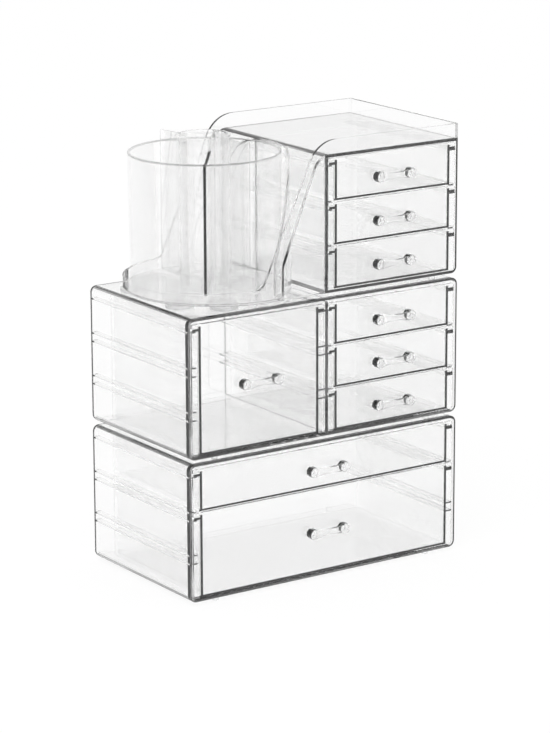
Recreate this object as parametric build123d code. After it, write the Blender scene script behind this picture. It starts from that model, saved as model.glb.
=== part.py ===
"""Clear plastic brush holder with drawers: two drawer cases and a top tier with shelf, tray and turning cup.

Millimetres, +Z up, -Y is the front. The origin is under the middle of the whole object, on the ground.
Each tier is modelled in its own frame, with its front rim at y = 0 and its underside at z = 0.
"""
from build123d import *
import os
from math import asin, atan2, cos, degrees, radians, sin, sqrt, tan

# ---- the three tiers ----
WIDTH = 240.0          # every tier, side to side
DEPTH = 137.3          # every tier, front rim to back
SIDE_T = 2.5           # side and back walls
PLATE_T = 2.6          # floor and roof plates
DIVIDER_T = 2.4        # upright wall in the middle of the tier
EDGE_R = 5.0           # rounded long edges of the cases
BACK_R = 4.4           # rounded edges round the back of the cases
CORE_R = 2.0           # inner corners at the back of the cases
RIM_R = 0.5            # broken edge round the open front
MOUTH_D = 5.7          # depth over which the open front flares
MOUTH_FLARE = 1.0      # how much thinner its walls are at the front
SLOTS = 3              # drawer slots, one above another

# ---- drawer fronts and the slots behind them ----
FRONT_H = 31.6         # front of a drawer that fills one slot
FRONT_T = 2.2          # front panel
FRONT_GAP = 1.05       # between two fronts, one above another
FRONT_SIDE_GAP = 0.5   # between a front and the wall beside it
SILL_GAP = 0.5         # under the lowest front
LINTEL_GAP = 1.4       # over the highest front of a case
FRONT_CORNER_R = 1.2   # corners of a front panel
FRONT_EDGE_R = 0.5     # broken edge round a front panel

# ---- drawer boxes and the runner ribs they hang on ----
DRAWER_D = 118.5       # front face to the back of the box
DRAWER_WALL = 2.0      # sides and back
DRAWER_FLOOR = 1.8
DRAWER_R = 2.5         # rounded lower edges of the box
DRAWER_BACK_R = 1.5    # rounded upright edges at its back
DRAWER_INSET = 6.2     # slot wall to the side of the box
FLANGE_T = 1.9         # runner flange along each side
FLANGE_DROP = 3.1      # top of the box down to the flange
FLANGE_GAP = 0.85      # flange to the slot wall
RIB_T = 1.2            # ribs on the slot walls
RIB_REACH = 4.9
RIB_SETBACK = 0.5      # behind the front panel
RUN_GAP = 0.3          # flange above its rib

# ---- handles ----
PULL_REACH = 6.5       # how far a handle stands out
PULL_POST = 7.4        # across the flats of the eight-sided post
PULL_SPACING = 28.0    # post to post
PULL_BAR_H = 4.0       # bar at its waist
PULL_FLARE_H = 6.4     # bar where it meets the posts
PULL_BAR_T = 3.0       # bar, front to back
PULL_BAR_SETBACK = 0.3 # bar behind the ends of the posts
PULL_BEVEL = 0.6       # bevel round the end of a post
PULL_SPIGOT_R = 1.6    # peg that goes through the front panel
PULL_DROP = 2.0        # below the middle of a one-slot front
PULL_DROP_TALL = 0.7   # below the middle of a taller front

# ---- fits ----
GLUE_GAP = 0.05        # pieces that are stuck or pressed together
REST_GAP = 0.1         # pieces that stand on another and lift off

# ---- feet ----
FOOT_H = 3.1
FOOT_R = 2.4
FOOT_INSET_X = 24.5    # side of the tier to a foot
FOOT_INSET_Y = 5.2     # front or back of the tier to a foot
FOOT_ROUND = 0.6
TOP_FOOT_INSET_X = 20.0
PAD_R = 10.6           # round feet under the tray
PAD_ROUND = 0.8
PAD_PITCH_R = 60.0     # pads about the centre of the tray's round end
PAD_ANGLES = (149.0, 118.0)

# ---- top shell: box, shelf, wave walls, tray ----
SHELL_T = 2.2          # shelf, wave walls, tray rim, ramps and pocket
TRAY_FLOOR_T = 2.0
TRAY_RIM_H = 9.4       # tray rim above the shell's underside
TRAY_EDGE_R = 1.8      # lower edge of the tray
SHELF_GAP = 0.7        # shelf over the highest front of the top tier
SHELF_RIM_H = 10.7     # rim above the shelf
WAVE_ANGLE = 64.9      # slope of the wave walls, degrees
WAVE_FOOT_X = -56.0    # where the slope would meet the level of the tray rim
WAVE_TOP_R = 25.0
WAVE_FOOT_R = 10.0
RAMP_ANGLE = 67.8      # slope of the ramps behind the wave walls
RAMP_FOOT_X = -39.0    # upright foot of the ramps
RAMP_FOOT_H = 24.3     # height where the slope starts
RAMP_TOP_R = 14.0
RAMP_FOOT_R = 6.0
POCKET_SINK = 1.4      # how deep the pocket for the cup bites into the box's left wall

# ---- brush cup, its pin and its divider ----
CUP_X = -60.4
CUP_R = 56.4           # outside, at the rim
CUP_TAPER = 1.2        # smaller radius at the foot
CUP_WALL = 2.2
CUP_FLOOR = 2.0
CUP_H = 99.2
CUP_FOOT_R = 3.0
CUP_CORE_R = 1.2
CUP_LIP_R = 0.9
PIN_R = 3.0
PIN_PLAY = 0.05        # radial play of the cup on its pin
PIN_HEAD_R = 6.0
PIN_HEAD_T = 1.0
RING_R = 22.0          # glide ring under the cup
RING_W = 6.0
RING_T = 1.0
CAP_R = 8.0            # cap that keeps the cup on the pin
CAP_T = 3.0
CAP_GAP = 0.3          # cap over the cup's floor
TUBE_R = 19.2          # divider's middle tube
TUBE_WALL = 2.0
TUBE_H = 109.3
VANE_T = 2.0
VANE_GAP = 0.3         # vane to the cup's wall
VANE_ROOT = 1.0        # how deep a vane starts inside the tube's wall
VANE_OFFSET = 8.5      # middle of a vane beside the tube's middle line
VANE_DROP = 4.0        # outer end of the straight vane below the tube's top
SWEPT_DROP = 14.0      # outer end of a swept vane below the tube's top
SWEPT_SAG = 3.0        # hollow of its upper edge
STRAIGHT_ANGLE = 94.4        # outer end of the straight vane, degrees from +X
SWEPT_ANGLES = (18.1, 237.0) # outer ends of the swept vanes

# ---- worked out from the sizes above ----
SLOT_PITCH = FRONT_H + FRONT_GAP
FRONTS_H = SLOTS * SLOT_PITCH - FRONT_GAP
FIRST_SLOT_Z = PLATE_T + SILL_GAP
CASE_H = FIRST_SLOT_Z + FRONTS_H + LINTEL_GAP + PLATE_T
BACK_Y = DEPTH - SIDE_T
MID_Y = DEPTH / 2
FULL_SLOT_W = WIDTH - 2 * SIDE_T
HALF_SLOT_W = (FULL_SLOT_W - DIVIDER_T) / 2
HALF_SLOT_X = (HALF_SLOT_W + DIVIDER_T) / 2
FLANGE_Z = FRONT_H - FLANGE_DROP - FLANGE_T
LOWER_RIB_Z = FLANGE_Z - RUN_GAP - RIB_T
RIB_Y = FRONT_T + RIB_SETBACK
SHELF_UNDER_Z = FIRST_SLOT_Z + FRONTS_H + SHELF_GAP
SHELF_Z = SHELF_UNDER_Z + SHELL_T
SHELL_TOP_Z = SHELF_Z + SHELF_RIM_H
POCKET_R = -DIVIDER_T / 2 - CUP_X + POCKET_SINK
CUP_Z = TRAY_FLOOR_T + GLUE_GAP + RING_T + REST_GAP
CUP_FLOOR_Z = CUP_Z + CUP_FLOOR
DIVIDER_Z = CUP_FLOOR_Z + REST_GAP
VANE_R = CUP_R - CUP_TAPER - CUP_WALL - VANE_GAP

TIER_STEP = CASE_H + FOOT_H + REST_GAP
FRONT_Y = -(DEPTH - PULL_REACH) / 2
BASE = Pos(0, FRONT_Y, FOOT_H)
MIDDLE = BASE * Pos(0, 0, TIER_STEP)
TOP = MIDDLE * Pos(0, 0, TIER_STEP)


# ---- small helpers ----
def block(x, y, z):
    """Box between two values on each axis."""
    size = Box(x[1] - x[0], y[1] - y[0], z[1] - z[0])
    return Pos((x[0] + x[1]) / 2, (y[0] + y[1]) / 2, (z[0] + z[1]) / 2) * size


def along_y(sketch, front, back):
    """Extrude a sketch drawn in X and Z from front to back."""
    plane = Plane(origin=(0, back, 0), x_dir=(1, 0, 0), z_dir=(0, -1, 0))
    return extrude(plane * sketch, back - front)


def rod(radius, bottom, top, x=0.0, y=0.0):
    """Upright cylinder."""
    cylinder = Cylinder(radius, top - bottom, align=(Align.CENTER, Align.CENTER, Align.MIN))
    return Pos(x, y, bottom) * cylinder


def polar(radius, angle):
    """Point in plan at an angle in degrees."""
    return (radius * cos(radians(angle)), radius * sin(radians(angle)))


def front_face(solid):
    return solid.faces().sort_by(Axis.Y)[0]


def back_face(solid):
    return solid.faces().sort_by(Axis.Y)[-1]


def slot_z(slot):
    """Lower edge of the front in a slot, counted from the bottom."""
    return FIRST_SLOT_Z + slot * SLOT_PITCH


# ---- drawer cases ----
def ribs(wall_x, side):
    """Runner and keeper ribs of every slot, on the wall at wall_x; side is the way they stand out."""
    across = sorted((wall_x - side * MOUTH_FLARE, wall_x + side * RIB_REACH))
    made = []
    for slot in range(SLOTS):
        runner_z = slot_z(slot) + LOWER_RIB_Z
        made.append(block(across, (RIB_Y, BACK_Y + GLUE_GAP), (runner_z, runner_z + RIB_T)))
        if slot > 0:
            keeper_z = slot_z(slot)
            made.append(block(across, (RIB_Y, BACK_Y + GLUE_GAP), (keeper_z - RIB_T, keeper_z)))
    return made


def mouth(opening):
    """Flare of a case's open front, from the opening's outline outwards."""
    plane = Plane(origin=(0, MOUTH_D, 0), x_dir=(1, 0, 0), z_dir=(0, -1, 0))
    return extrude(plane * opening, MOUTH_D + RIM_R, taper=-degrees(atan2(MOUTH_FLARE, MOUTH_D)))


def drawer_case(walls):
    """Open-front case; walls lists the middle x of each upright divider."""
    height = Pos(0, CASE_H / 2)
    outside = along_y(height * RectangleRounded(WIDTH, CASE_H, EDGE_R), 0, DEPTH)
    outside = fillet(back_face(outside).edges(), BACK_R)
    outside = fillet(front_face(outside).edges(), RIM_R)
    core = RectangleRounded(FULL_SLOT_W, CASE_H - 2 * PLATE_T, EDGE_R - SIDE_T)
    inside = along_y(height * core, -1, BACK_Y)
    inside = fillet(back_face(inside).edges(), CORE_R)
    case = outside - inside - mouth(height * core)
    case += ribs(-FULL_SLOT_W / 2, 1) + ribs(FULL_SLOT_W / 2, -1)
    for middle in walls:
        face = (middle - DIVIDER_T / 2, middle + DIVIDER_T / 2)
        case += block(face, (0, BACK_Y + GLUE_GAP), (PLATE_T - GLUE_GAP, CASE_H - PLATE_T + GLUE_GAP))
        case += ribs(face[0], -1) + ribs(face[1], 1)
    return case


def feet(places, radius, rounding):
    """Short round feet under a tier, stuck to its underside."""
    made = []
    for x, y in places:
        foot = rod(radius, -FOOT_H, -GLUE_GAP, x, y)
        made.append(fillet(foot.edges().group_by(Axis.Z)[0], rounding))
    return Compound(children=made)


def case_feet():
    places = []
    for x in (FOOT_INSET_X - WIDTH / 2, WIDTH / 2 - FOOT_INSET_X):
        for y in (FOOT_INSET_Y, DEPTH - FOOT_INSET_Y):
            places.append((x, y))
    return feet(places, FOOT_R, FOOT_ROUND)


# ---- drawers ----
def front_height(slots):
    return slots * SLOT_PITCH - FRONT_GAP


def drawer(slot_w, slots):
    """Drawer with its front's lower edge at z = 0, in the middle of a slot slot_w wide."""
    height = front_height(slots)
    box_w = slot_w - 2 * DRAWER_INSET
    front_w = slot_w - 2 * FRONT_SIDE_GAP
    lift = Pos(0, height / 2)

    panel = along_y(lift * RectangleRounded(front_w, height, FRONT_CORNER_R), 0, FRONT_T)
    panel = fillet(front_face(panel).edges(), FRONT_EDGE_R)

    lower = Rectangle(box_w, height)
    lower = fillet(lower.vertices().group_by(Axis.Y)[0], DRAWER_R)
    box = along_y(lift * lower, FRONT_T - GLUE_GAP, DRAWER_D)
    box = fillet(back_face(box).edges().filter_by(Axis.Z), DRAWER_BACK_R)

    room = Rectangle(box_w - 2 * DRAWER_WALL, height)
    room = fillet(room.vertices().group_by(Axis.Y)[0], DRAWER_R - DRAWER_FLOOR / 2)
    room = along_y(Pos(0, height / 2 + DRAWER_FLOOR) * room, FRONT_T, DRAWER_D - DRAWER_WALL)

    body = panel + (box - room)
    flange_z = height - FLANGE_DROP - FLANGE_T
    for side in (-1, 1):
        across = sorted((side * (box_w / 2 - GLUE_GAP), side * (slot_w / 2 - FLANGE_GAP)))
        body += block(across, (FRONT_T - GLUE_GAP, DRAWER_D - DRAWER_R), (flange_z, flange_z + FLANGE_T))
    for hole in (-PULL_SPACING / 2, PULL_SPACING / 2):
        body -= pull_peg(hole, height, slots, PULL_SPIGOT_R + GLUE_GAP, -1)
    return body


def pull_z(height, slots):
    drop = PULL_DROP if slots == 1 else PULL_DROP_TALL
    return height / 2 - drop


def pull_peg(x, height, slots, radius, start):
    """Round peg through the front panel, from start to the panel's inner face."""
    profile = Pos(x, pull_z(height, slots)) * Circle(radius)
    return along_y(profile, start, FRONT_T)


def handle(slots):
    """Bar between two eight-sided posts, with a peg behind each post."""
    height = front_height(slots)
    z = pull_z(height, slots)
    half = PULL_SPACING / 2
    corner_r = PULL_POST / 2 / cos(radians(22.5))
    pull = []
    for x in (-half, half):
        octagon = RegularPolygon(corner_r, 8, rotation=22.5)
        post = along_y(Pos(x, z) * octagon, -PULL_REACH, -GLUE_GAP)
        pull.append(chamfer(front_face(post).edges(), PULL_BEVEL))
        pull.append(pull_peg(x, height, slots, PULL_SPIGOT_R, -PULL_REACH / 2))
    waist = PULL_BAR_H / 2
    flare = PULL_FLARE_H / 2
    upper = ThreePointArc((-half, flare), (0, waist), (half, flare))
    lower = ThreePointArc((half, -flare), (0, -waist), (-half, -flare))
    ends = [Line((half, flare), (half, -flare)), Line((-half, -flare), (-half, flare))]
    bar = make_face([upper, lower] + ends)
    front = -PULL_REACH + PULL_BAR_SETBACK
    pull.append(along_y(Pos(0, z) * bar, front, front + PULL_BAR_T))
    whole = pull[0]
    for piece in pull[1:]:
        whole += piece
    return whole


# ---- top shell ----
def wave_sketch():
    """Region under the upper edge of the front and back walls, in X and Z."""
    rise = SHELL_TOP_Z - TRAY_RIM_H
    crest_x = WAVE_FOOT_X + rise / tan(radians(WAVE_ANGLE))
    left = -WIDTH / 2 - 1
    right = WIDTH / 2 + 1
    points = [(left, -1), (right, -1), (right, SHELL_TOP_Z), (crest_x, SHELL_TOP_Z)]
    points += [(WAVE_FOOT_X, TRAY_RIM_H), (left, TRAY_RIM_H)]
    region = make_face(Polyline(*points, close=True))
    crest = region.vertices().sort_by_distance((crest_x, SHELL_TOP_Z))[0]
    region = fillet(crest, WAVE_TOP_R)
    foot = region.vertices().sort_by_distance((WAVE_FOOT_X, TRAY_RIM_H))[0]
    return fillet(foot, WAVE_FOOT_R)


def ramp_sketch(sink):
    """Region over the ramp and shelf, in X and Z; sink lowers it square to the surface."""
    slope = radians(RAMP_ANGLE)
    foot_x = RAMP_FOOT_X + sink
    shelf_z = SHELF_Z - sink
    bend_z = RAMP_FOOT_H - sink * tan((radians(90) - slope) / 2)
    crest_x = foot_x + (shelf_z - bend_z) / tan(slope)
    right = WIDTH / 2 + 1
    left = -WIDTH / 2 - 1
    over = SHELL_TOP_Z + 1
    points = [(foot_x, TRAY_FLOOR_T), (foot_x, bend_z), (crest_x, shelf_z), (right, shelf_z)]
    points += [(right, over), (left, over), (left, TRAY_FLOOR_T)]
    region = make_face(Polyline(*points, close=True))
    crest = region.vertices().sort_by_distance((crest_x, shelf_z))[0]
    region = fillet(crest, RAMP_TOP_R - sink)
    bend = region.vertices().sort_by_distance((foot_x, bend_z))[0]
    return fillet(bend, RAMP_FOOT_R + sink)


def d_shape(inset):
    """Plan of the tier: square to the right, half round to the left."""
    radius = MID_Y - inset
    centre_x = -WIDTH / 2 + MID_Y
    right = WIDTH / 2 - (SIDE_T if inset else 0)
    length = right - centre_x
    straight = Pos(centre_x + length / 2, MID_Y) * Rectangle(length, 2 * radius)
    return straight + Pos(centre_x, MID_Y) * Circle(radius)


def shell_outside():
    body = extrude(d_shape(0), SHELL_TOP_Z)
    lower_right = body.edges().filter_by(Axis.Y).group_by(Axis.Z)[0]
    body = fillet(lower_right, EDGE_R)
    round_end = body.edges().group_by(Axis.Z)[0].filter_by(GeomType.CIRCLE)
    body = fillet(round_end, TRAY_EDGE_R)
    return body & along_y(wave_sketch(), -1, DEPTH + 1)


def shell_room():
    """Open space over the tray floor, the ramps and the shelf."""
    plan = extrude(d_shape(SHELL_T), SHELL_TOP_Z + 2)
    over_ramp = along_y(ramp_sketch(0), -1, DEPTH + 1)
    pocket = rod(POCKET_R, TRAY_FLOOR_T, SHELL_TOP_Z + 2, CUP_X, MID_Y)
    return (plan & over_ramp) + pocket


def ramp_hollows():
    """Two hollows under the ramps, open below, between the pocket and the box."""
    across = (RAMP_FOOT_X, -DIVIDER_T / 2)
    hollow = block(across, (SHELL_T, DEPTH - SHELL_T), (-1, SHELL_TOP_Z))
    hollow -= along_y(ramp_sketch(SHELL_T), 0, DEPTH)
    hollow -= block((-WIDTH, RAMP_FOOT_X + SHELL_T), (-1, DEPTH + 1), (-2, SHELL_TOP_Z))
    return hollow - rod(POCKET_R + SHELL_T, -2, SHELL_TOP_Z + 1, CUP_X, MID_Y)


def shell_box_room():
    """Space behind the drawer fronts of the top tier."""
    left = DIVIDER_T / 2
    height = SHELF_UNDER_Z - PLATE_T
    room = Rectangle(HALF_SLOT_W, height)
    corner = room.vertices().group_by(Axis.Y)[0].sort_by(Axis.X)[-1]
    room = fillet(corner, EDGE_R - SIDE_T)
    return along_y(Pos(left + HALF_SLOT_W / 2, PLATE_T + height / 2) * room, -1, BACK_Y)


def top_shell():
    shell = shell_outside() - shell_room() - ramp_hollows() - shell_box_room()
    shell += ribs(DIVIDER_T / 2, 1) + ribs(WIDTH / 2 - SIDE_T, -1)
    return shell - rod(PIN_R + GLUE_GAP, -1, TRAY_FLOOR_T + 1, CUP_X, MID_Y)


def top_feet():
    x = WIDTH / 2 - TOP_FOOT_INSET_X
    return feet([(x, FOOT_INSET_Y), (x, DEPTH - FOOT_INSET_Y)], FOOT_R, FOOT_ROUND)


def tray_pads():
    centre_x = -WIDTH / 2 + MID_Y
    places = []
    for angle in PAD_ANGLES:
        x, y = polar(PAD_PITCH_R, angle)
        places.append((centre_x + x, MID_Y - y))
        places.append((centre_x + x, MID_Y + y))
    return feet(places, PAD_R, PAD_ROUND)


# ---- cup and what it turns on, about the cup's own middle line ----
def brush_cup():
    foot_r = CUP_R - CUP_TAPER
    shape = Polyline((0, 0), (foot_r, 0), (CUP_R, CUP_H), (0, CUP_H), close=True)
    outer = make_face(shape)
    corner = outer.vertices().sort_by_distance((foot_r, 0))[0]
    outer = fillet(corner, CUP_FOOT_R)
    core = [(0, CUP_FLOOR), (foot_r - CUP_WALL, CUP_FLOOR), (CUP_R - CUP_WALL, CUP_H + 1), (0, CUP_H + 1)]
    inner = make_face(Polyline(*core, close=True))
    corner = inner.vertices().sort_by_distance((foot_r - CUP_WALL, CUP_FLOOR))[0]
    inner = fillet(corner, CUP_CORE_R)
    cup = revolve(Plane.XZ * (outer - inner), Axis.Z)
    cup = fillet(cup.edges().group_by(Axis.Z)[-1], CUP_LIP_R)
    return Pos(0, 0, CUP_Z) * cup - rod(PIN_R + PIN_PLAY, 0, CUP_FLOOR_Z + 1)


def pivot_pin():
    head = rod(PIN_HEAD_R, -GLUE_GAP - PIN_HEAD_T, -GLUE_GAP)
    return head + rod(PIN_R, -GLUE_GAP - PIN_HEAD_T, CUP_FLOOR_Z + CAP_GAP + CAP_T / 2)


def glide_ring():
    bottom = TRAY_FLOOR_T + GLUE_GAP
    return rod(RING_R, bottom, bottom + RING_T) - rod(RING_R - RING_W, 0, bottom + 2 * RING_T)


def pin_cap():
    bottom = CUP_FLOOR_Z + CAP_GAP
    cap = fillet(rod(CAP_R, bottom, bottom + CAP_T).edges().group_by(Axis.Z)[-1], CAP_T / 3)
    return cap - rod(PIN_R + GLUE_GAP, 0, bottom + CAP_T / 2 + GLUE_GAP)


def under_edge(upper_edge):
    """Everything under a vane's upper edge and inside the cup, as a solid of revolution."""
    outline = [
        upper_edge,
        Line(upper_edge @ 1, (VANE_R, CUP_CORE_R)),
        Line((VANE_R, CUP_CORE_R), (VANE_R - CUP_CORE_R, 0)),
        Line((VANE_R - CUP_CORE_R, 0), (0, 0)),
        Line((0, 0), (0, TUBE_H)),
    ]
    start = upper_edge @ 0
    if start.X > 0:
        outline.append(Line((0, TUBE_H), start))
    return revolve(Plane.XZ * make_face(outline), Axis.Z)


def vane(outer_angle, limit):
    """Upright plate beside the tube's middle line, its outer end at outer_angle."""
    inner_x = sqrt((TUBE_R - VANE_ROOT) ** 2 - VANE_OFFSET ** 2)
    across = (VANE_OFFSET - VANE_T / 2, VANE_OFFSET + VANE_T / 2)
    plate = block((inner_x, CUP_R), across, (0, TUBE_H))
    turn = outer_angle - degrees(asin(VANE_OFFSET / VANE_R))
    return Rot(0, 0, turn) * plate & limit


def cup_divider():
    straight = under_edge(Line((0, TUBE_H), (VANE_R, TUBE_H - VANE_DROP)))
    middle = ((TUBE_R + VANE_R) / 2, TUBE_H - SWEPT_DROP / 2 - SWEPT_SAG)
    swept = under_edge(ThreePointArc((TUBE_R, TUBE_H), middle, (VANE_R, TUBE_H - SWEPT_DROP)))
    body = rod(TUBE_R, 0, TUBE_H) + vane(STRAIGHT_ANGLE, straight)
    for angle in SWEPT_ANGLES:
        body += vane(angle, swept)
    return Pos(0, 0, DIVIDER_Z) * (body - rod(TUBE_R - TUBE_WALL, -1, TUBE_H + 1))


# ---- writing the pieces ----
def save(name, tier, shape):
    shape = tier * shape
    shape.label = name
    export_step(shape, f"parts/{name}.step")


def save_drawer(name, tier, x, slot, slot_w, slots):
    """Drawer and its handle, its front in the slots from slot upwards."""
    place = tier * Pos(x, 0, slot_z(slot))
    save(f"{name}_drawer", place, drawer(slot_w, slots))
    save(f"{name}_handle", place, handle(slots))


os.makedirs("parts", exist_ok=True)

save("base_case", BASE, drawer_case([]))
save("base_feet", BASE, case_feet())
save_drawer("base_deep", BASE, 0, 0, FULL_SLOT_W, SLOTS - 1)
save_drawer("base_shallow", BASE, 0, SLOTS - 1, FULL_SLOT_W, 1)

save("middle_case", MIDDLE, drawer_case([0]))
save("middle_feet", MIDDLE, case_feet())
save_drawer("tall", MIDDLE, -HALF_SLOT_X, 0, HALF_SLOT_W, SLOTS)

save("top_shell", TOP, top_shell())
save("top_feet", TOP, top_feet())
save("tray_pads", TOP, tray_pads())

LEVELS = ("lower", "centre", "upper")
for slot, level in enumerate(LEVELS):
    save_drawer(f"middle_{level}", MIDDLE, HALF_SLOT_X, slot, HALF_SLOT_W, 1)
    save_drawer(f"top_{level}", TOP, HALF_SLOT_X, slot, HALF_SLOT_W, 1)

CUP = TOP * Pos(CUP_X, MID_Y, 0)
save("brush_cup", CUP, brush_cup())
save("cup_divider", CUP, cup_divider())
save("pivot_pin", CUP, pivot_pin())
save("glide_ring", CUP, glide_ring())
save("pin_cap", CUP, pin_cap())
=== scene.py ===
"""Clear acrylic brush holder with drawers: the finish of its pieces, a pale studio and the camera."""
from math import cos, radians, sin

import bpy
from mathutils import Matrix, Vector

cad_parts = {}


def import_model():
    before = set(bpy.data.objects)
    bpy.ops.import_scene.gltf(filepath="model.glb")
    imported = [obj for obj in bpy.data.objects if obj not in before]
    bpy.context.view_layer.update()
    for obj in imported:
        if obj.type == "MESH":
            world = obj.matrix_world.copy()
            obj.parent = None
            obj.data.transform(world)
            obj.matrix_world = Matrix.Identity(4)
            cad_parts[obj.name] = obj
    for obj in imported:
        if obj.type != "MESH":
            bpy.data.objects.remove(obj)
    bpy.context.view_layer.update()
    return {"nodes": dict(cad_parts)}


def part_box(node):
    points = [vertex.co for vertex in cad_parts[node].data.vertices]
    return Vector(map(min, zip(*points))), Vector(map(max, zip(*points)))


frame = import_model()

MM = 0.001
PER_METRE = 1000.0      # this, divided by a pattern's size in millimetres, is its texture scale


def linear(hex_code):
    """sRGB hex such as 'f4f6f7' to a linear colour with alpha 1."""
    channels = [int(hex_code[i:i + 2], 16) / 255 for i in (0, 2, 4)]
    return [c / 12.92 if c <= 0.04045 else ((c + 0.055) / 1.055) ** 2.4 for c in channels] + [1.0]


def add(tree, kind, settings=None, links=None):
    """One node, with its socket values or attributes and what feeds its sockets."""
    node = tree.nodes.new(kind)
    for name, value in (settings or {}).items():
        if isinstance(name, int) or name in node.inputs:
            node.inputs[name].default_value = value
        else:
            setattr(node, name, value)
    for name, source in (links or {}).items():
        tree.links.new(source, node.inputs[name])
    return node


def material(name):
    made = bpy.data.materials.new(name)
    made.use_nodes = True
    made.node_tree.nodes.clear()
    return made


# ---- clear plastics ----
ACRYLIC_IOR = 1.49
SOFT_IOR = 1.53         # plasticised PVC, and nylon
WHITE = "ffffff"        # no tint
DEPTH_GREY = "b4b4b4"   # what a long way through acrylic tends to
POLISHED = (0.02, 0.04)  # finest and coarsest roughness of a polished mould
FLOW_MM = 45.0          # width of the soft waves that a filling mould leaves in a flat wall
FLOW_DEPTH = 0.012      # how far they stand up, in millimetres
HAZE_MM = 6.0           # patches of finer and coarser polish

# ---- places on the tiers, in millimetres ----
FRONT_Y = -65.4         # front rim of the tiers
RIB_FRONT = 3.5         # the front rim of the tiers and the front ends of their ribs
LEFT_WALL_X = -117.4    # inner face of the cases' left wall
LEFT_EDGE_X = -115.0    # where the cases' rounded left edge starts
BASE_PLATE_Z = 6.0      # over the floor plate of the base case
MIDDLE_Z = 109.0        # between the two cases
MIDDLE_PLATE_Z = 113.2  # over the floor plate of the middle case
BOX_SIDE_X = -1.3       # outside of the wall beside the top drawers, and a hair more
SHELF_LEVEL = 320.5     # top of the shelf
CUP_TOP = 319.85        # rim of the cup
TUBE_TOP = 332.05       # rim of the divider's tube
LIP = 1.3               # rounding of a rim
VANE_END_Y = -38.0      # the front vane's outer end stands before this
VANE_SWEEP_Y = -24.0    # and the outer part of its swept upper edge before this

# ---- places on a drawer, in millimetres ----
PANEL_T = 2.3           # its front panel, and a hair more
WALL_FROM = 5.5         # its side wall begins this far in from the edge of its front
WALL_TO = 7.6           # and ends here
WALL_TOP = 1.6          # the side walls stop this far below the front's top
FLANGE_FROM = 0.4       # the box's flange begins nearly at the front's edge
FLANGE_HIGH = 3.1       # and hangs this far below its top
FLANGE_LOW = 5.0
FLOOR_LINE = 1.7        # its floor, above the lower edge of its front

# ---- how squarely a face looks along an axis: 1 or -1 is straight along it ----
FRONTWARD = -0.5
SQUARELY_FRONT = -0.7
LEFTWARD = -0.3
UPWARD = 0.2
NEARLY_LEVEL = 0.8
LEVEL = 0.985


def moulded(tree, rough_low, rough_high, flow=1.0):
    """Roughness and bump of a polished moulding: faint patches of haze over soft flow waves."""
    place = add(tree, "ShaderNodeTexCoord").outputs["Object"]
    haze = add(tree, "ShaderNodeTexNoise", {"Scale": PER_METRE / HAZE_MM, "Detail": 2.0},
               {"Vector": place})
    rough = add(tree, "ShaderNodeMapRange", {"To Min": rough_low, "To Max": rough_high},
                {"Value": haze.outputs["Fac"]})
    waves = add(tree, "ShaderNodeTexNoise", {"Scale": PER_METRE / FLOW_MM, "Detail": 1.0},
                {"Vector": place})
    bump = add(tree, "ShaderNodeBump", {"Strength": flow, "Distance": FLOW_DEPTH * MM},
               {"Height": waves.outputs["Fac"]})
    return rough.outputs["Result"], bump.outputs["Normal"]


def where(tree, tests):
    """One on the part of a surface where every test holds, else nought.

    A test is what is read, its axis, the comparison and the value: Object is the place in metres,
    Normal the way that the surface faces.
    """
    place = add(tree, "ShaderNodeTexCoord")
    result = None
    for read, axis, comparison, value in tests:
        parts = add(tree, "ShaderNodeSeparateXYZ", {}, {0: place.outputs[read]})
        holds = add(tree, "ShaderNodeMath", {"operation": comparison, 1: value}, {0: parts.outputs[axis]})
        if result:
            holds = add(tree, "ShaderNodeMath", {"operation": "MULTIPLY"},
                        {0: result, 1: holds.outputs[0]})
        result = holds.outputs[0]
    return result


def any_of(tree, groups):
    """One where all the tests of one group or another hold."""
    result = where(tree, groups[0])
    for tests in groups[1:]:
        either = add(tree, "ShaderNodeMath", {"operation": "MAXIMUM"},
                     {0: result, 1: where(tree, tests)})
        result = either.outputs[0]
    return result


def clear_plastic(name, ior, rough, depth_tint, density, flow=1.0, thin=1.0, solid=(), painted_shade_at=(),
                  painted_shade_tone=WHITE):
    """Clear moulding: its surface, and the grey that a long way through it takes on.

    thin is the share of light that a wall bends; the rest goes straight through, as in a thin sheet,
    but not where a group of tests in solid holds. Where a group of the painted-shade tests holds, the
    base colour is painted in the dark tone given: painted shade, standing in for the dark look of light
    running along inside a wall.
    """
    made = material(name)
    tree = made.node_tree
    rough, normal = moulded(tree, rough[0], rough[1], flow)
    links = {"Roughness": rough, "Normal": normal}
    if solid:
        share = add(tree, "ShaderNodeMapRange", {"To Min": thin, "To Max": 1.0},
                    {"Value": any_of(tree, solid)})
        links["Alpha"] = share.outputs["Result"]
    if painted_shade_at:
        # painted shade: the base colour goes from white to the dark tone where a painted-shade mask holds
        tint = add(tree, "ShaderNodeMix", {"data_type": "RGBA"}, {0: any_of(tree, painted_shade_at)})
        pair = [socket for socket in tint.inputs if socket.type == "RGBA"]
        pair[0].default_value = linear(WHITE)
        pair[1].default_value = linear(painted_shade_tone)
        links["Base Color"] = [socket for socket in tint.outputs if socket.type == "RGBA"][0]
    shader = add(tree, "ShaderNodeBsdfPrincipled", {
        "Base Color": linear(WHITE),
        "IOR": ior,
        "Transmission Weight": 1.0,
        "Alpha": thin,
    }, links)
    inside = add(tree, "ShaderNodeVolumeAbsorption", {"Color": linear(depth_tint), "Density": density})
    add(tree, "ShaderNodeOutputMaterial", {},
        {"Surface": shader.outputs["BSDF"], "Volume": inside.outputs["Volume"]})
    return made


def place_over(axis, value):
    return ("Object", axis, "GREATER_THAN", value * MM)


def place_under(axis, value):
    return ("Object", axis, "LESS_THAN", value * MM)


def faces_over(axis, value):
    return ("Normal", axis, "GREATER_THAN", value)


def faces_under(axis, value):
    return ("Normal", axis, "LESS_THAN", value)


def between(axis, low, high):
    return (place_over(axis, low), place_under(axis, high))


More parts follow.
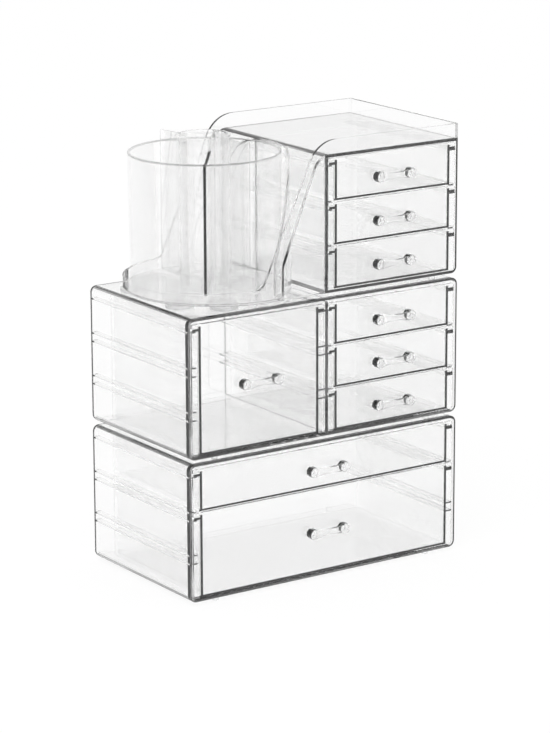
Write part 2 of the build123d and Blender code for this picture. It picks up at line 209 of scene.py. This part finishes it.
RIM = (place_under("Y", FRONT_Y + RIB_FRONT), faces_under("Y", FRONTWARD), place_over("X", LEFT_WALL_X))
ROUND_EDGE = (place_under("X", LEFT_EDGE_X), faces_over("Z", NEARLY_LEVEL), faces_under("Z", LEVEL))
PANEL = place_under("Y", FRONT_Y + PANEL_T)
SIDE_FACET = (faces_over("Y", SQUARELY_FRONT), faces_under("Y", -SQUARELY_FRONT),
              faces_under("X", LEFTWARD))
VANE_END = (place_under("Y", VANE_END_Y), faces_under("Y", SQUARELY_FRONT))
VANE_SWEEP = (place_under("Y", VANE_SWEEP_Y), faces_over("Z", UPWARD))
CUP_LIP = (place_over("Z", CUP_TOP - LIP),)
TUBE_LIP = (place_over("Z", TUBE_TOP - LIP),)

# Acrylic (PMMA) injected into polished steel: glass-clear through a wall. Painted shade in dark grey
# on the front rims, the front ends of their ribs and the rounded left edge stands in for light that
# runs along inside a wall.
CASE = clear_plastic("polished_moulded_acrylic", ACRYLIC_IOR, POLISHED, DEPTH_GREY, 5.0,
                     painted_shade_tone="484848", painted_shade_at=[
                         RIM + between("Z", BASE_PLATE_Z, MIDDLE_Z),
                         RIM + (place_over("Z", MIDDLE_PLATE_Z),),
                         ROUND_EDGE])
# The top shell is the same, with painted shade, near black, along the rim round its drawers only.
SHELL = clear_plastic("polished_moulded_acrylic_shell", ACRYLIC_IOR, POLISHED, DEPTH_GREY, 5.0,
                      painted_shade_tone="202020", painted_shade_at=[
                          RIM + (place_over("X", BOX_SIDE_X), place_under("Z", SHELF_LEVEL))])
# The cup is moulded thin for its size: it hardly bends what lies behind, and only its rim shows,
# with painted shade in light grey on the rim.
CUP = clear_plastic("satin_polished_moulded_acrylic", ACRYLIC_IOR, POLISHED, "d0d0d0", 4.0,
                    thin=0.15, solid=[CUP_LIP], painted_shade_tone="c4c4c4", painted_shade_at=[CUP_LIP])
# The divider's plates are clear but for the front one's outer end and swept top, painted black as painted
# shade.
DIVIDER = clear_plastic("drawn_moulded_acrylic", ACRYLIC_IOR, (0.01, 0.02), DEPTH_GREY, 4.0,
                        thin=0.6, solid=[VANE_END, VANE_SWEEP, TUBE_LIP],
                        painted_shade_tone="040404", painted_shade_at=[VANE_END, VANE_SWEEP])
# Handles are small solid mouldings of the same acrylic: bright fronts, and painted shade, near black, on
# the left-hand facets.
HANDLE = clear_plastic("faceted_moulded_acrylic", ACRYLIC_IOR, (0.02, 0.03), "b0b0b0", 10.0, flow=0.0,
                       painted_shade_tone="0c0c0c", painted_shade_at=[SIDE_FACET])
# Soft clear PVC, moulded in a matt tool: the little feet look like drops of gel.
FEET = clear_plastic("soft_clear_pvc", SOFT_IOR, (0.12, 0.2), "d8dcdc", 10.0, flow=0.0, thin=0.5)
# Clear nylon, moulded: the pin, its cap and the ring that the cup turns on.
NYLON = clear_plastic("clear_moulded_nylon", SOFT_IOR, (0.08, 0.14), "d8dcdc", 10.0, flow=0.0, thin=0.3)


def drawer_acrylic_and_painted_shade(name):
    """Acrylic for one drawer: its box is thin and hardly shows, and its clear front carries painted
    shade, near black, in bands where the ends of the walls, flanges and floor stand behind it."""
    low, high = ([value / MM for value in corner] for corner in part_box(name))
    front = (PANEL, faces_under("Y", FRONTWARD))
    walls = front + between("Z", low[2] + FLOOR_LINE, high[2] - WALL_TOP)
    flanges = front + between("Z", high[2] - FLANGE_LOW, high[2] - FLANGE_HIGH)
    floor_end = front + (place_under("Z", low[2] + FLOOR_LINE),)
    return clear_plastic(name + "_thin_moulded_acrylic", ACRYLIC_IOR, POLISHED, DEPTH_GREY, 4.0,
                         thin=0.22, solid=[(PANEL,)], painted_shade_tone="101010", painted_shade_at=[
                             walls + between("X", low[0] + WALL_FROM, low[0] + WALL_TO),
                             walls + between("X", high[0] - WALL_TO, high[0] - WALL_FROM),
                             flanges + between("X", low[0] + FLANGE_FROM, low[0] + WALL_FROM),
                             flanges + between("X", high[0] - WALL_FROM, high[0] - FLANGE_FROM),
                             floor_end + between("X", low[0] + WALL_FROM, high[0] - WALL_FROM)])


FINISHES = {"case": CASE, "shell": SHELL, "handle": HANDLE, "cup": CUP, "divider": DIVIDER,
            "feet": FEET, "pads": FEET, "pin": NYLON, "cap": NYLON, "ring": NYLON}


def finish_of(name):
    """The drawers have a finish each; the other pieces share one by the last word of their names."""
    kind = name.split("_")[-1]
    return drawer_acrylic_and_painted_shade(name) if kind == "drawer" else FINISHES[kind]


for name, node in frame["nodes"].items():
    node.data.materials.clear()
    node.data.materials.append(finish_of(name))


# ---- studio ----
FLOOR_SIZE = 14.0
FLOOR_GLOW = 0.93       # the sweep's own white, as the eye sees it
FLOOR_PAINT = "4a4a4a"  # what the lamps add to it, and a shadow takes away
FLOOR_WHITE = "f4f4f4"  # its paint to any other light
CEILING = "ececec"      # overhead, as clear walls and mirrors see it
HORIZON = 0.02          # height of a direction, from 0 level to 1 straight up, where white ends
CEILING_FROM = 0.15     # and where the ceiling is full
KEY_PLACE = (-0.9, -0.7, 1.6)
KEY_AIM = (0, 0, 0.1)
KEY_SIZE = 0.9          # metres
KEY_WATTS = 12.0


def seen(tree):
    """One for a ray that the eye, a mirror or a clear wall sends out, else nought."""
    path = add(tree, "ShaderNodeLightPath")
    first = add(tree, "ShaderNodeMath", {"operation": "MAXIMUM"},
                {0: path.outputs["Is Camera Ray"], 1: path.outputs["Is Glossy Ray"]})
    return add(tree, "ShaderNodeMath", {"operation": "MAXIMUM"},
               {0: first.outputs[0], 1: path.outputs["Is Transmission Ray"]}).outputs[0]


def white_sweep():
    """Matt white paper: even white to the eye, with a faint soft shadow where the object stands."""
    made = material("matt_white_paper")
    tree = made.node_tree
    paint = add(tree, "ShaderNodeBsdfDiffuse", {"Color": linear(FLOOR_PAINT)})
    plain = add(tree, "ShaderNodeBsdfDiffuse", {"Color": linear(FLOOR_WHITE)})
    glow = add(tree, "ShaderNodeEmission", {"Color": linear(WHITE), "Strength": FLOOR_GLOW})
    shown = add(tree, "ShaderNodeAddShader", {}, {0: paint.outputs[0], 1: glow.outputs[0]})
    either = add(tree, "ShaderNodeMixShader", {},
                 {0: seen(tree), 1: plain.outputs[0], 2: shown.outputs[0]})
    add(tree, "ShaderNodeOutputMaterial", {}, {"Surface": either.outputs[0]})
    return made


def floor():
    mesh = bpy.data.meshes.new("floor")
    half = FLOOR_SIZE / 2
    corners = [(-half, -half, 0), (half, -half, 0), (half, half, 0), (-half, half, 0)]
    mesh.from_pydata(corners, [], [(0, 1, 2, 3)])
    mesh.materials.append(white_sweep())
    made = bpy.data.objects.new("floor", mesh)
    bpy.context.collection.objects.link(made)


def world():
    """White all round, but clear walls and mirrors see a ceiling that is a little grey."""
    made = bpy.data.worlds.new("studio")
    bpy.context.scene.world = made
    made.use_nodes = True
    tree = made.node_tree
    tree.nodes.clear()
    path = add(tree, "ShaderNodeLightPath")
    way = add(tree, "ShaderNodeTexCoord").outputs["Generated"]
    up = add(tree, "ShaderNodeSeparateXYZ", {}, {0: way})
    high = add(tree, "ShaderNodeMapRange", {"From Min": HORIZON, "From Max": CEILING_FROM},
               {"Value": up.outputs["Z"]})
    mirrored = add(tree, "ShaderNodeMath", {"operation": "MAXIMUM"},
                   {0: path.outputs["Is Glossy Ray"], 1: path.outputs["Is Transmission Ray"]})
    share = add(tree, "ShaderNodeMath", {"operation": "MULTIPLY"},
                {0: high.outputs["Result"], 1: mirrored.outputs[0]})
    tone = add(tree, "ShaderNodeMix", {"data_type": "RGBA"})
    colours = [s for s in tone.inputs if s.type == "RGBA"]
    colours[0].default_value = linear(WHITE)
    colours[1].default_value = linear(CEILING)
    tree.links.new(share.outputs[0], tone.inputs[0])
    result = [s for s in tone.outputs if s.type == "RGBA"][0]
    back = add(tree, "ShaderNodeBackground", {"Strength": 1.0}, {"Color": result})
    add(tree, "ShaderNodeOutputWorld", {}, {"Surface": back.outputs[0]})


def softbox(name, place, aim, size, watts):
    data = bpy.data.lights.new(name, "AREA")
    data.shape = "SQUARE"
    data.size = size
    data.energy = watts
    lamp = bpy.data.objects.new(name, data)
    lamp.location = place
    lamp.rotation_euler = (Vector(aim) - Vector(place)).to_track_quat("-Z", "Y").to_euler()
    lamp.visible_glossy = False
    lamp.visible_transmission = False
    bpy.context.collection.objects.link(lamp)


floor()
world()
softbox("key_softbox", KEY_PLACE, KEY_AIM, KEY_SIZE, KEY_WATTS)

# ---- camera, at the photograph's viewing angle ----
YAW = 34.273            # degrees
PITCH = 14.537
ROLL = -0.199
CAMERA_MM = (-1287.5, -1887.8, 741.6)
FOCAL_PX = 3144.76      # focal length, in the photograph's pixels
PHOTO_H = 733           # its height, in pixels
SENSOR = 36.0           # millimetres
FAR = 20                # metres


def photo_camera():
    data = bpy.data.cameras.new("photo_camera")
    data.sensor_fit = "AUTO"
    data.sensor_width = SENSOR
    data.lens = FOCAL_PX * SENSOR / PHOTO_H
    data.clip_end = FAR
    camera = bpy.data.objects.new("photo_camera", data)
    bpy.context.collection.objects.link(camera)
    yaw, pitch, roll = (radians(a) for a in (YAW, PITCH, ROLL))
    ahead = Vector((sin(yaw) * cos(pitch), cos(yaw) * cos(pitch), -sin(pitch)))
    level = Vector((cos(yaw), -sin(yaw), 0))
    up = level.cross(ahead)
    right = cos(roll) * level + sin(roll) * up
    top = -sin(roll) * level + cos(roll) * up
    turn = Matrix((right, top, -ahead)).transposed()
    camera.matrix_world = Matrix.Translation(Vector(CAMERA_MM) * MM) @ turn.to_4x4()
    bpy.context.scene.camera = camera


photo_camera()

# ---- light has to pass many clear walls ----
WALLS = 24
scene = bpy.context.scene
scene.cycles.max_bounces = WALLS
scene.cycles.transmission_bounces = WALLS
scene.cycles.glossy_bounces = WALLS
scene.cycles.transparent_max_bounces = 4 * WALLS
scene.view_settings.view_transform = "Standard"
